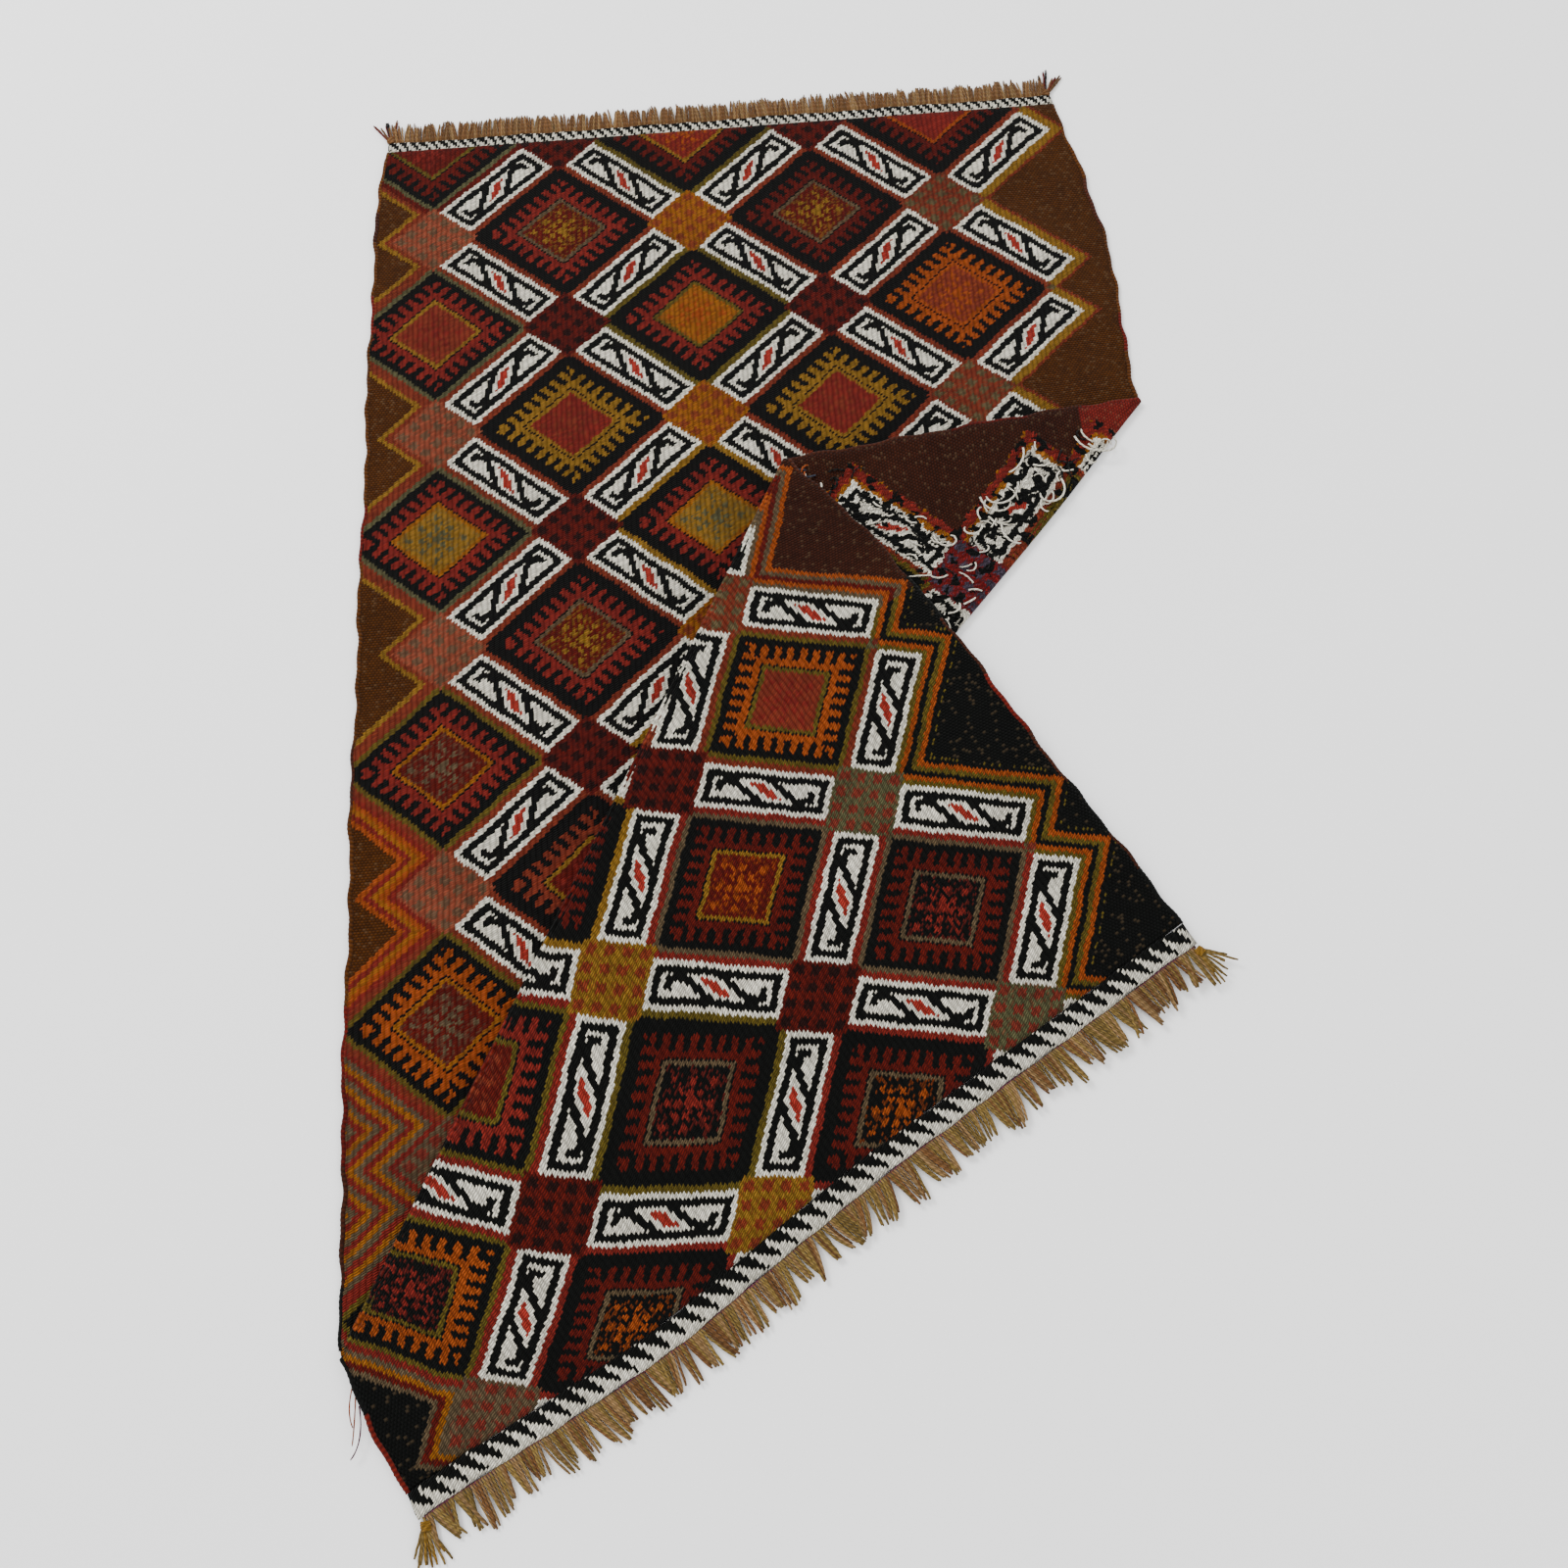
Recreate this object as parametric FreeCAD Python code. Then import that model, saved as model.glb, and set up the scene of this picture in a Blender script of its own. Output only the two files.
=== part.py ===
"""Small flat-woven wool rug, lying flat with one pleat folded across its lower right part.

Every piece is drawn on the rug laid out flat: x runs along the weft from the left selvedge,
y along the warp from the lower end of the cloth, z up from the floor, face side up.
Two straight creases leave one point on the left selvedge. The cloth between them is the
turnback, which lies face down on the upper part. The cloth past them is the flap, face up
again. Each panel is then turned about its crease into the folded rug. Millimetres throughout.
"""
import FreeCAD, Part
import os
from math import cos, hypot, radians, sin, tan

from FreeCAD import Placement, Rotation, Vector

# Cloth
WIDTH = 600.0            # selvedge to selvedge, without the selvedge cords
LENGTH = 1000.0          # between the two end bands
GROUND = 2.0             # thickness of the ground weave
BROCADE = 1.0            # height of the brocading on the face
LAYER_GAP = 0.3          # air between two folded layers, and kept at each crease

# Pleat
FOLD_POINT = 83.0        # up the left selvedge, where both creases start
OUTER_CREASE = 44.0      # degrees from the warp to the crease under the turnback
PLEAT_ANGLE = 15.0       # degrees of cloth between the two creases
TURNBACK_LIFT = 7.0      # degrees by which the turnback stands off the upper part

# Pattern: a diagonal lattice of bars with dotted squares where the bars cross
COLUMN = 102.5           # from one column of squares to the next
ROW = 180.0              # from one square to the next in the same column
FIRST_COLUMN = 65.0      # first column from the left selvedge
TOP_MARGIN = 90.0        # first row of squares below the upper end
COLUMNS = 5
ROWS = 6
SQUARE_HALF = 0.17       # half a dotted square, as a share of the lattice step
BAR_HALF = 0.115         # half a bar's width, as a share of the lattice step
CHEVRON = 0.12           # width of a side chevron, as a share of the lattice step
JOIN_LINE = 1.0          # ground left showing between two motifs
LEAST_MOTIF = 20.0       # a clipped motif of less volume than this isn't woven

# Edges and ends
CORD_RADIUS = 1.5        # selvedge cord, a half round against the cloth's edge
TOP_BAND = 9.0
BOTTOM_BAND = 16.0
BINDING = 2.0            # binding thread past the lower band, square in section
FRINGE_PITCH = 6.0
FRINGE_WIDTH = 5.2
FRINGE_THICK = 2.4
TOP_FRINGE = 22.0
BOTTOM_FRINGE = 30.0
KNOT_RADIUS = 3.0
STRAND_RADIUS = 1.2
TASSEL_LENGTH = 30.0
TASSEL_FAN = 14.0        # degrees between the strands of a corner tassel
TIE_GAP = 0.2            # from a knot or a stray yarn to the edge that it is tied to
YARN = 1.4               # thickness of a loose brocading yarn
YARN_LENGTH = 34.0
YARN_ENDS = 9
END_INSET = 40.0         # first loose end on the back, in from the right selvedge
END_SPREAD = 34.0        # step in from the selvedge, three places over
END_PITCH = 13.0         # step along the warp from one end to the next
END_HEADING = 100.0      # degrees from the weft
END_TURN = 14.0          # more degrees for each next end
STRAY_DROP = 14.0        # stray yarn on the left selvedge, below the fold point
STRAY_HEADING = 235.0
STRAY_LENGTH = 24.0

CLOTH = GROUND + BROCADE
INNER_CREASE = OUTER_CREASE + PLEAT_ANGLE
SLACK = 60.0             # the clipping regions reach this far past the rug's edges
WIDEST_OPENING = 45.0    # degrees from which the flap is let down to the floor
FLOOR_STEPS = 40         # halvings on the way down


def crease_y(angle, x, shift=0.0):
    """Height of a crease line at x, with the line moved sideways by shift, plus is up."""
    return FOLD_POINT + x / tan(radians(angle)) + shift / sin(radians(angle))


def prism(points, low, high):
    """A straight prism over a flat outline, from z low to z high."""
    corners = [Vector(x, y, low) for x, y in points]
    outline = Part.makePolygon(corners + corners[:1])
    return Part.Face(outline).extrude(Vector(0, 0, high - low))


def wedge_start():
    """Where the turnback's two edges meet, just inside the left selvedge."""
    pinch = LAYER_GAP / sin(radians(OUTER_CREASE)) + LAYER_GAP / sin(radians(INNER_CREASE))
    return pinch / (1 / tan(radians(OUTER_CREASE)) - 1 / tan(radians(INNER_CREASE)))


def panel_outline(panel, slack=0.0):
    """Outline of one panel, reaching slack past the rug's selvedges and ends."""
    right = WIDTH + slack
    if panel == "turnback":
        start = wedge_start()
        return [
            (start, crease_y(INNER_CREASE, start, LAYER_GAP)),
            (right, crease_y(INNER_CREASE, right, LAYER_GAP)),
            (right, crease_y(OUTER_CREASE, right, -LAYER_GAP)),
        ]
    angle, shift, end = OUTER_CREASE, LAYER_GAP, LENGTH + slack
    if panel == "flap":
        angle, shift, end = INNER_CREASE, -LAYER_GAP, -slack
    outline = [(0, crease_y(angle, 0, shift)), (right, crease_y(angle, right, shift))]
    outline += [(right, end), (-slack, end)]
    if slack:
        outline.append((-slack, crease_y(angle, 0, shift)))
    return outline


def clipped(shapes, panel):
    """The parts of some flat shapes that belong to a panel, as a list of solids."""
    region = prism(panel_outline(panel, SLACK), -SLACK, SLACK)
    solids = [solid for shape in shapes for solid in shape.common(region).Solids]
    return [solid for solid in solids if solid.Volume > LEAST_MOTIF]


def lattice(column, row, along=0.0, across=0.0):
    """A point of the pattern: along steps down to the right, across steps up to the right."""
    x = FIRST_COLUMN + COLUMN * (column + along + across)
    y = LENGTH - TOP_MARGIN - ROW * row + ROW / 2 * (across - along)
    return x, y


# Half the line of ground between two motifs, as a share of the lattice step
HALF_LINE = JOIN_LINE / 2 * hypot(COLUMN, ROW / 2) / (COLUMN * ROW)


def rectangle(place, along, across):
    """Corners of a motif, from its along and across ranges about one lattice point."""
    a, b = along[0] + HALF_LINE, along[1] - HALF_LINE
    c, d = across[0] + HALF_LINE, across[1] - HALF_LINE
    return [lattice(*place, u, v) for u, v in ((a, c), (b, c), (b, d), (a, d))]


def crossings(columns=range(COLUMNS)):
    """Lattice points that carry a dotted square. Odd columns sit half a row lower."""
    return [(c, r + 0.5 * (c % 2)) for c in columns for r in range(-1, ROWS)]


def dotted_squares():
    half = (-SQUARE_HALF, SQUARE_HALF)
    return [rectangle(place, half, half) for place in crossings()]


def hook_bars():
    """Two bars from each crossing to the next column."""
    length, width = (SQUARE_HALF, 1 - SQUARE_HALF), (-BAR_HALF, BAR_HALF)
    down = [rectangle(place, length, width) for place in crossings()]
    return down + [rectangle(place, width, length) for place in crossings()]


def comb_diamonds():
    """Large diamonds below the squares, with each corner notched for the square it meets."""
    half = 0.5 - BAR_HALF - HALF_LINE
    notch = 0.5 - SQUARE_HALF - HALF_LINE
    outlines = []
    for place in crossings():
        corner = [(notch, -half), (notch, -notch), (half, -notch)]
        spans = []
        for _ in range(4):
            spans += corner
            corner = [(-across, along) for along, across in corner]
        outlines.append([lattice(*place, u + 0.5, v - 0.5) for u, v in spans])
    return outlines


def side_chevrons():
    """Bands in a zigzag down both sides, between the lattice and the plain ground."""
    length, width = (SQUARE_HALF - 1, -SQUARE_HALF), (-BAR_HALF, BAR_HALF)
    outlines = []
    for place in crossings([0]):
        outlines.append(rectangle(place, length, width))
        outlines.append(rectangle(place, width, length))
    edge = BAR_HALF + CHEVRON
    for place in crossings([COLUMNS - 1]):
        outlines.append(rectangle(place, (SQUARE_HALF, 1 - SQUARE_HALF), (BAR_HALF, edge)))
        outlines.append(rectangle(place, (BAR_HALF, edge), (edge, 1 - SQUARE_HALF)))
    return outlines


def ground_cloth(panel):
    return [prism(panel_outline(panel), 0, GROUND)]


def brocading(outlines, panel):
    """One kind of motif, standing on the face of the ground cloth of a panel."""
    field = prism([(0, 0), (WIDTH, 0), (WIDTH, LENGTH), (0, LENGTH)], GROUND, CLOTH)
    tiles = [prism(outline, GROUND, CLOTH).common(field) for outline in outlines]
    return clipped(tiles, panel)


def selvedge_cord(side, panel):
    """A half-round cord along one selvedge, its flat against the edge of the cloth."""
    cord = Part.makeCylinder(CORD_RADIUS, LENGTH, Vector(0, 0, 0), Vector(0, 1, 0), 180)
    if side == "left":
        cord.rotate(Vector(0, 0, 0), Vector(0, 1, 0), 180)
    cord.translate(Vector(WIDTH if side == "right" else 0, 0, CLOTH / 2))
    return clipped([cord], panel)


def band(low, high, thick=CLOTH):
    """A woven band across the rug, from y low to y high."""
    return [Part.makeBox(WIDTH, high - low, thick, Vector(0, low, 0))]


def fringe(start, length):
    """Short bundles of warp ends side by side, the first and last left to the corner tassels."""
    count = round(WIDTH / FRINGE_PITCH) - 2
    first = (WIDTH - count * FRINGE_PITCH) / 2
    low = min(start, start + length)
    bundles = []
    for i in range(count):
        x = first + i * FRINGE_PITCH + (FRINGE_PITCH - FRINGE_WIDTH) / 2
        bundles.append(Part.makeBox(FRINGE_WIDTH, abs(length), FRINGE_THICK, Vector(x, low, 0)))
    return bundles


def corner_tassel(side, end):
    """A wound knot past one corner of the rug with three strands fanned out from it."""
    outwards = 1 if side == "right" else -1
    up = 1 if end == "top" else -1
    tip = LENGTH + TOP_BAND if end == "top" else -BOTTOM_BAND - BINDING
    x = (WIDTH if side == "right" else 0) - outwards * FRINGE_PITCH / 2
    knot_at = Vector(x, tip + up * (KNOT_RADIUS + TIE_GAP), 0)
    tassel = Part.makeCylinder(KNOT_RADIUS, CLOTH, knot_at)
    for i in range(3):
        heading = radians(i * TASSEL_FAN)
        along = Vector(outwards * sin(heading), up * cos(heading), 0)
        root = Vector(knot_at.x, knot_at.y, STRAND_RADIUS)
        strand = Part.makeCylinder(STRAND_RADIUS, TASSEL_LENGTH, root, along)
        tassel = tassel.fuse(strand)
    return tassel.removeSplitter().Solids


def yarn_end(x, y, heading, length=YARN_LENGTH, base=None):
    """A loose end of brocading yarn lying flat, from x, y towards a heading in degrees."""
    low = -YARN if base is None else base
    yarn = Part.makeBox(length, YARN, YARN, Vector(0, -YARN / 2, low))
    yarn.rotate(Vector(0, 0, 0), Vector(0, 0, 1), heading)
    yarn.translate(Vector(x, y, 0))
    return yarn


def back_yarn_ends():
    """Ends left hanging on the back of the turnback, near its selvedge."""
    ends = []
    for i in range(YARN_ENDS):
        inset = END_INSET + END_SPREAD * (i % 3)
        middle = (crease_y(INNER_CREASE, WIDTH - inset) + crease_y(OUTER_CREASE, WIDTH - inset)) / 2
        y = middle + END_PITCH * (i - (YARN_ENDS - 1) / 2)
        ends.append(yarn_end(WIDTH - inset, y, END_HEADING + END_TURN * i))
    return ends


def turn(angle, height, degrees):
    """Placement that turns a panel about its crease, whose axis is at the given height."""
    along = Vector(sin(radians(angle)), cos(radians(angle)), 0)
    return Placement(Vector(0, 0, 0), Rotation(along, degrees), Vector(0, FOLD_POINT, height))


# Crease axes on the flat rug: above the face for the outer crease, below the back for the other
OUTER_AXIS = CLOTH + LAYER_GAP / 2
INNER_AXIS = -LAYER_GAP / 2
to_turnback = turn(OUTER_CREASE, OUTER_AXIS, TURNBACK_LIFT - 180)


def to_flap(opening):
    """Placement of the flap, standing off the turnback by opening degrees."""
    return to_turnback * turn(INNER_CREASE, INNER_AXIS, 180 - opening)


def lowest_corner(opening):
    """Height of the flap's lowest corner, with its fringe and tassels."""
    reach = BOTTOM_BAND + BINDING + KNOT_RADIUS + TIE_GAP + TASSEL_LENGTH
    corners = [(x, -reach) for x in (0, WIDTH)] + [(WIDTH, crease_y(INNER_CREASE, WIDTH))]
    points = [Vector(x, y, z) for x, y in corners for z in (0, CLOTH)]
    return min(to_flap(opening).multVec(point).z for point in points)


def flap_opening():
    """Degrees between flap and turnback that let the flap's lowest corner down to the floor."""
    shut, wide = 0.0, WIDEST_OPENING
    for _ in range(FLOOR_STEPS):
        middle = (shut + wide) / 2
        shut, wide = (shut, middle) if lowest_corner(middle) > 0 else (middle, wide)
    return wide


FLAP_OPENING = flap_opening()
PLACES = {"upper": Placement(), "turnback": to_turnback, "flap": to_flap(FLAP_OPENING)}


def pieces():
    """Every node's name, with its panel and its solids on the flat rug."""
    found = {}
    for panel in PLACES:
        found[f"ground_cloth_{panel}"] = panel, ground_cloth(panel)
        for motif in (dotted_squares, hook_bars, comb_diamonds, side_chevrons):
            found[f"{motif.__name__}_{panel}"] = panel, brocading(motif(), panel)
        found[f"selvedge_cord_right_{panel}"] = panel, selvedge_cord("right", panel)
    for panel in ("upper", "flap"):
        found[f"selvedge_cord_left_{panel}"] = panel, selvedge_cord("left", panel)
    lower_edge = -BOTTOM_BAND - BINDING
    found["end_band_top"] = "upper", band(LENGTH, LENGTH + TOP_BAND)
    found["end_band_bottom"] = "flap", band(-BOTTOM_BAND, 0)
    found["binding_thread_bottom"] = "flap", band(lower_edge, -BOTTOM_BAND, BINDING)
    found["fringe_top"] = "upper", fringe(LENGTH + TOP_BAND, TOP_FRINGE)
    found["fringe_bottom"] = "flap", fringe(lower_edge, -BOTTOM_FRINGE)
    for side in ("left", "right"):
        found[f"corner_tassel_top_{side}"] = "upper", corner_tassel(side, "top")
        found[f"corner_tassel_bottom_{side}"] = "flap", corner_tassel(side, "bottom")
    found["yarn_ends_on_back"] = "turnback", back_yarn_ends()
    stray_x = -CORD_RADIUS - YARN / 2 - TIE_GAP
    stray = yarn_end(stray_x, FOLD_POINT - STRAY_DROP, STRAY_HEADING, STRAY_LENGTH, 0)
    found["stray_yarn_left"] = "flap", [stray]
    return found


def build():
    """Fold every piece into place and put the origin under the middle of the rug."""
    folded = {}
    for name, (panel, solids) in pieces().items():
        group = Part.makeCompound(solids) if len(solids) > 1 else solids[0]
        group.Placement = PLACES[panel] * group.Placement
        folded[name] = group
    box = Part.makeCompound(list(folded.values())).optimalBoundingBox()
    shift = Vector(-box.Center.x, -box.Center.y, -box.ZMin)
    for shape in folded.values():
        shape.translate(shift)
    return folded, shift


if __name__ == "__main__":
    os.makedirs("parts", exist_ok=True)
    folded, shift = build()
    for name, shape in folded.items():
        shape.exportStep(f"parts/{name}.step")
    print(f"{len(folded)} nodes, origin shift {tuple(round(v, 3) for v in shift)}")
    print(f"flap opening {FLAP_OPENING:.3f} degrees")
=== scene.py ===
import random
from math import cos, pi, radians, sin, tan

import bmesh
import bpy
import numpy as np
from mathutils import Matrix, Vector


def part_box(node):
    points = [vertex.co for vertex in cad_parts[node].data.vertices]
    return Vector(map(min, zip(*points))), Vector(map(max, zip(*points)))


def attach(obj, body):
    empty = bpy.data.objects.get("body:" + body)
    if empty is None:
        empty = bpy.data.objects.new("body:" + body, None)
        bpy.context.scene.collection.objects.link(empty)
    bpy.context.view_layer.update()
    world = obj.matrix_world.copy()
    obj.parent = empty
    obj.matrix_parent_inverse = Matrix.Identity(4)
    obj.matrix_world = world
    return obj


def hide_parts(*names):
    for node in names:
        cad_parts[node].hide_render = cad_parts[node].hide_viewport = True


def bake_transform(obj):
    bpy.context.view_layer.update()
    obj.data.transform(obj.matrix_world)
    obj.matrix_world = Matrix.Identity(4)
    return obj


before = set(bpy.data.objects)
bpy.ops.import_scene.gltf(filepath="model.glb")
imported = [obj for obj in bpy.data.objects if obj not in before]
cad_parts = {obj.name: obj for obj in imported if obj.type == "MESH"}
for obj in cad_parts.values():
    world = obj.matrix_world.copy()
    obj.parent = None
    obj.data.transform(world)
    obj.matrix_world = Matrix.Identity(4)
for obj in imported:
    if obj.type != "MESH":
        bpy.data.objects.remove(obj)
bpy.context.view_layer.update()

# ---------------------------------------------------------------- sizes of the flat rug, in mm
# x runs along the weft from the left selvedge, y along the warp from the lower end, z up.
WIDTH = 600.0
LENGTH = 1000.0
CLOTH = 3.0              # thickness where it is brocaded
LAYER_GAP = 0.3
FOLD_POINT = 83.0
OUTER_CREASE = 44.0
INNER_CREASE = 59.0
TURNBACK_LIFT = 7.0
FLAP_OPENING = 4.573
COLUMN = 102.5
ROW = 180.0
FIRST_COLUMN = 65.0
TOP_MARGIN = 90.0
TOP_BAND = 9.0
BOTTOM_BAND = 16.0
BINDING = 2.0
TOP_FRINGE = 22.0
BOTTOM_FRINGE = 30.0
GRID = 5.0               # mesh step of the cloth

# Where the flat rug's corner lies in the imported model
upper_low, upper_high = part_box("ground_cloth_upper")
ORIGIN = Vector((upper_low.x * 1000, upper_high.y * 1000 - LENGTH, upper_low.z * 1000))


# ---------------------------------------------------------------- folding
def turn(angle, height, degrees):
    """Turns a panel about its crease, whose axis is at the given height on the flat rug."""
    axis = Vector((sin(radians(angle)), cos(radians(angle)), 0))
    centre = Matrix.Translation((0, FOLD_POINT, height))
    return centre @ Matrix.Rotation(radians(degrees), 4, axis) @ centre.inverted()


OUTER_AXIS = CLOTH + LAYER_GAP / 2
INNER_AXIS = -LAYER_GAP / 2
TO_TURNBACK = turn(OUTER_CREASE, OUTER_AXIS, TURNBACK_LIFT - 180)
TO_FLAP = TO_TURNBACK @ turn(INNER_CREASE, INNER_AXIS, 180 - FLAP_OPENING)
PLACES = {"upper": Matrix.Identity(4), "turnback": TO_TURNBACK, "flap": TO_FLAP}


def placed(points, matrix):
    """Flat points in mm to the row frame in metres."""
    points = np.asarray(points, float)
    m = np.array(matrix)
    folded = points @ m[:3, :3].T + m[:3, 3] + np.array(ORIGIN)
    return folded / 1000


def crease_y(angle, x, shift=0.0):
    return FOLD_POINT + x / tan(radians(angle)) + shift / sin(radians(angle))


def crease_distance(angle, x, y):
    """Distance from a crease on the flat rug, plus towards the upper end."""
    return (y - FOLD_POINT) * sin(radians(angle)) - x * cos(radians(angle))


# Where the creases meet the right selvedge
INNER_END, OUTER_END = crease_y(INNER_CREASE, WIDTH), crease_y(OUTER_CREASE, WIDTH)


# ---------------------------------------------------------------- shape of the flat rug
def ripple(x, y, seed=0.0):
    """Slow, uneven waves between -1 and 1."""
    a = np.sin(x / 61 + 1.7 * np.sin(y / 143 + seed) + seed)
    b = np.sin(y / 78 + 1.3 * np.sin(x / 119 + 2.1 * seed) + 0.7)
    c = np.sin((x + y) / 97 + 1.1 * seed) * np.sin((x - 1.4 * y) / 131 + 0.4)
    return (a + b + c) / 3


LEFT_Y = [-20, 190, 455, 690, 860, 935, 985, 1015]
LEFT_X = [-2, -4, 2, 10, 16, 20, 26, 29]
RIGHT_X = [600, 600, 600, 599, 600, 592, 580, 575]


def left_edge(y):
    wave = 0.7 * np.sin(y / 8.7) + 0.9 * np.sin(y / 27 + 1) + 0.5 * np.sin(y / 4.1 + 2)
    return np.interp(y, LEFT_Y, LEFT_X) + wave


def right_edge(y):
    wave = 0.8 * np.sin(y / 9.3 + 2) + 0.9 * np.sin(y / 31) + 0.5 * np.sin(y / 4.3)
    return np.interp(y, LEFT_Y, RIGHT_X) + wave


def spread_across(share, y):
    """x on the flat rug, from its share of the way between the selvedges."""
    return left_edge(y) + share * (right_edge(y) - left_edge(y))


def lattice_place(x, y):
    """Pattern coordinates: steps down to the right, and steps up to the right."""
    column = (x - FIRST_COLUMN) / COLUMN
    row = (LENGTH - TOP_MARGIN - y) / (ROW / 2)
    return (column + row) / 2, (column - row) / 2


def calm(x, y):
    """0 beside a crease and 1 well away from it, so that folded layers stay clear."""
    near = np.minimum(abs(crease_distance(OUTER_CREASE, x, y)), abs(crease_distance(INNER_CREASE, x, y)))
    t = np.clip((near - 6) / 50, 0, 1)
    return t * t * (3 - 2 * t)


def lift(x, y):
    """How far the cloth stands off the floor in its slow waves."""
    return 1.5 * calm(x, y) * (1 + ripple(x, y, 1.0)) / 2


def thickness(x, y):
    """Cloth thickness: full where it is brocaded, thinner on the plain ground at the sides."""
    a, b = lattice_place(x, y)
    column = a + b
    row = a - b
    left_row = np.round(row / 2)
    left = np.maximum(abs(a - (-1 + 2 * left_row) / 2), abs(b - (-1 - 2 * left_row) / 2))
    right_row = np.round((row - 1) / 2 + 0.5)
    right = np.maximum(abs(a - (5 + 2 * right_row) / 2), abs(b - (5 - 2 * right_row) / 2))
    plain = np.where(column < 0, np.clip((0.5 - left) / 0.06, 0, 1), 0)
    plain = np.where(column > 4, np.clip((0.3 - right) / 0.06, 0, 1), plain)
    puff = 0.25 * np.cos(2 * pi * a) * np.cos(2 * pi * b)
    return CLOTH - 0.1 - 0.8 * plain + 0.3 * puff


# How far worn cloth has slid since it was folded, in mm as it lies: the whole flap, and then slack
# about a few spots, each with its place on the flat rug, its slide and how far it spreads
FLAP_SLIDE = Vector((-4, -9))
POCKET = (170, 95, 0, -22, 110)      # near the fold point
FLAP_TIP = (600, 443, -4, -20, 70)
TURNBACK_CORNER = (600, 704, 1, 8, 80)


def slack(spot, x, y):
    """The slide at places on the flat rug that comes from slack about one spot."""
    spot_x, spot_y, slide_x, slide_y, spread = spot
    close = np.exp(-((x - spot_x) ** 2 + (y - spot_y) ** 2) / spread ** 2)
    return np.column_stack([close * slide_x, close * slide_y])


FOLD_LINE = radians(2 * OUTER_CREASE - INNER_CREASE)      # the inner crease as it lies folded
ACROSS_FOLD = np.array([cos(FOLD_LINE), -sin(FOLD_LINE)])


def flap_give(x, y):
    moved = slack(POCKET, x, y) + slack(FLAP_TIP, x, y) + np.array(FLAP_SLIDE)
    moved = moved * np.clip(np.hypot(x, y - FOLD_POINT) / 60, 0, 1)[:, None]
    # at the crease the cloth can only slide along it
    held = np.exp(-(crease_distance(INNER_CREASE, x, y) / 45) ** 2)
    return moved - np.outer(moved @ ACROSS_FOLD * held, ACROSS_FOLD)


def give(panel, x, y):
    """How far a panel's cloth is shifted as it lies, at places on the flat rug."""
    x, y = np.asarray(x, float), np.asarray(y, float)
    if panel == "flap":
        return flap_give(np.clip(x, 0, WIDTH), np.clip(y, 0, LENGTH))
    moved = slack(TURNBACK_CORNER, x, y)
    if panel == "turnback":
        reach = np.hypot(x, y - FOLD_POINT)
        along_x, along_y = reach * sin(radians(INNER_CREASE)), reach * cos(radians(INNER_CREASE))
        at_crease = flap_give(along_x, FOLD_POINT + along_y)
        angle = np.degrees(np.arctan2(x, y - FOLD_POINT))
        share = np.clip((angle - OUTER_CREASE) / (INNER_CREASE - OUTER_CREASE), 0, 1)[:, None]
        moved = moved * (1 - share) + at_crease * share
    return moved


def laid(points, panel):
    """Points on the flat rug in mm, as they lie on a folded panel, in metres."""
    points = np.asarray(points, float)
    made = placed(points, PLACES[panel])
    made[:, :2] += give(panel, points[:, 0], points[:, 1]) / 1000
    return made


# ---------------------------------------------------------------- yarn colours
def yarn(red, green, blue):
    """A yarn colour written as screen values, as linear light."""
    values = [v / 255 for v in (red, green, blue)]
    return [v / 12.92 if v <= 0.04045 else ((v + 0.055) / 1.055) ** 2.4 for v in values] + [1.0]


YARNS = {
    "white": yarn(240, 234, 215),
    "black": yarn(11, 12, 10),
    "red": yarn(120, 34, 27),
    "dark red": yarn(90, 20, 12),
    "rust": yarn(118, 46, 28),
    "rose": yarn(140, 68, 46),
    "orange": yarn(150, 68, 20),
    "ochre": yarn(142, 84, 22),
    "mustard": yarn(132, 96, 28),
    "olive": yarn(92, 78, 24),
    "grey": yarn(92, 76, 54),
    "grey green": yarn(84, 82, 54),
    "brown": yarn(80, 43, 8),
    "dark brown": yarn(60, 27, 14),
    "blue grey": yarn(56, 62, 76),
    "camel": yarn(134, 104, 66),
    "camel brown": yarn(108, 74, 42),
    "camel olive": yarn(120, 97, 50),
    "purple": yarn(92, 42, 66),
    "madder": yarn(160, 48, 38),
    "madder dark": yarn(112, 22, 22),
}

# Squares by column: ground, dots
SQUARES = {
    0: ("rose", "grey"),
    1: ("dark red", "black"),
    2: ("ochre", "rust"),
    3: ("dark red", "black"),
    4: ("rust", "grey green"),
}
LOW_SQUARES = {0: ("grey", "red"), 2: ("mustard", "red"), 4: ("grey green", "red")}
TURNBACK_SQUARE = ("madder dark", "blue grey")

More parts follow.
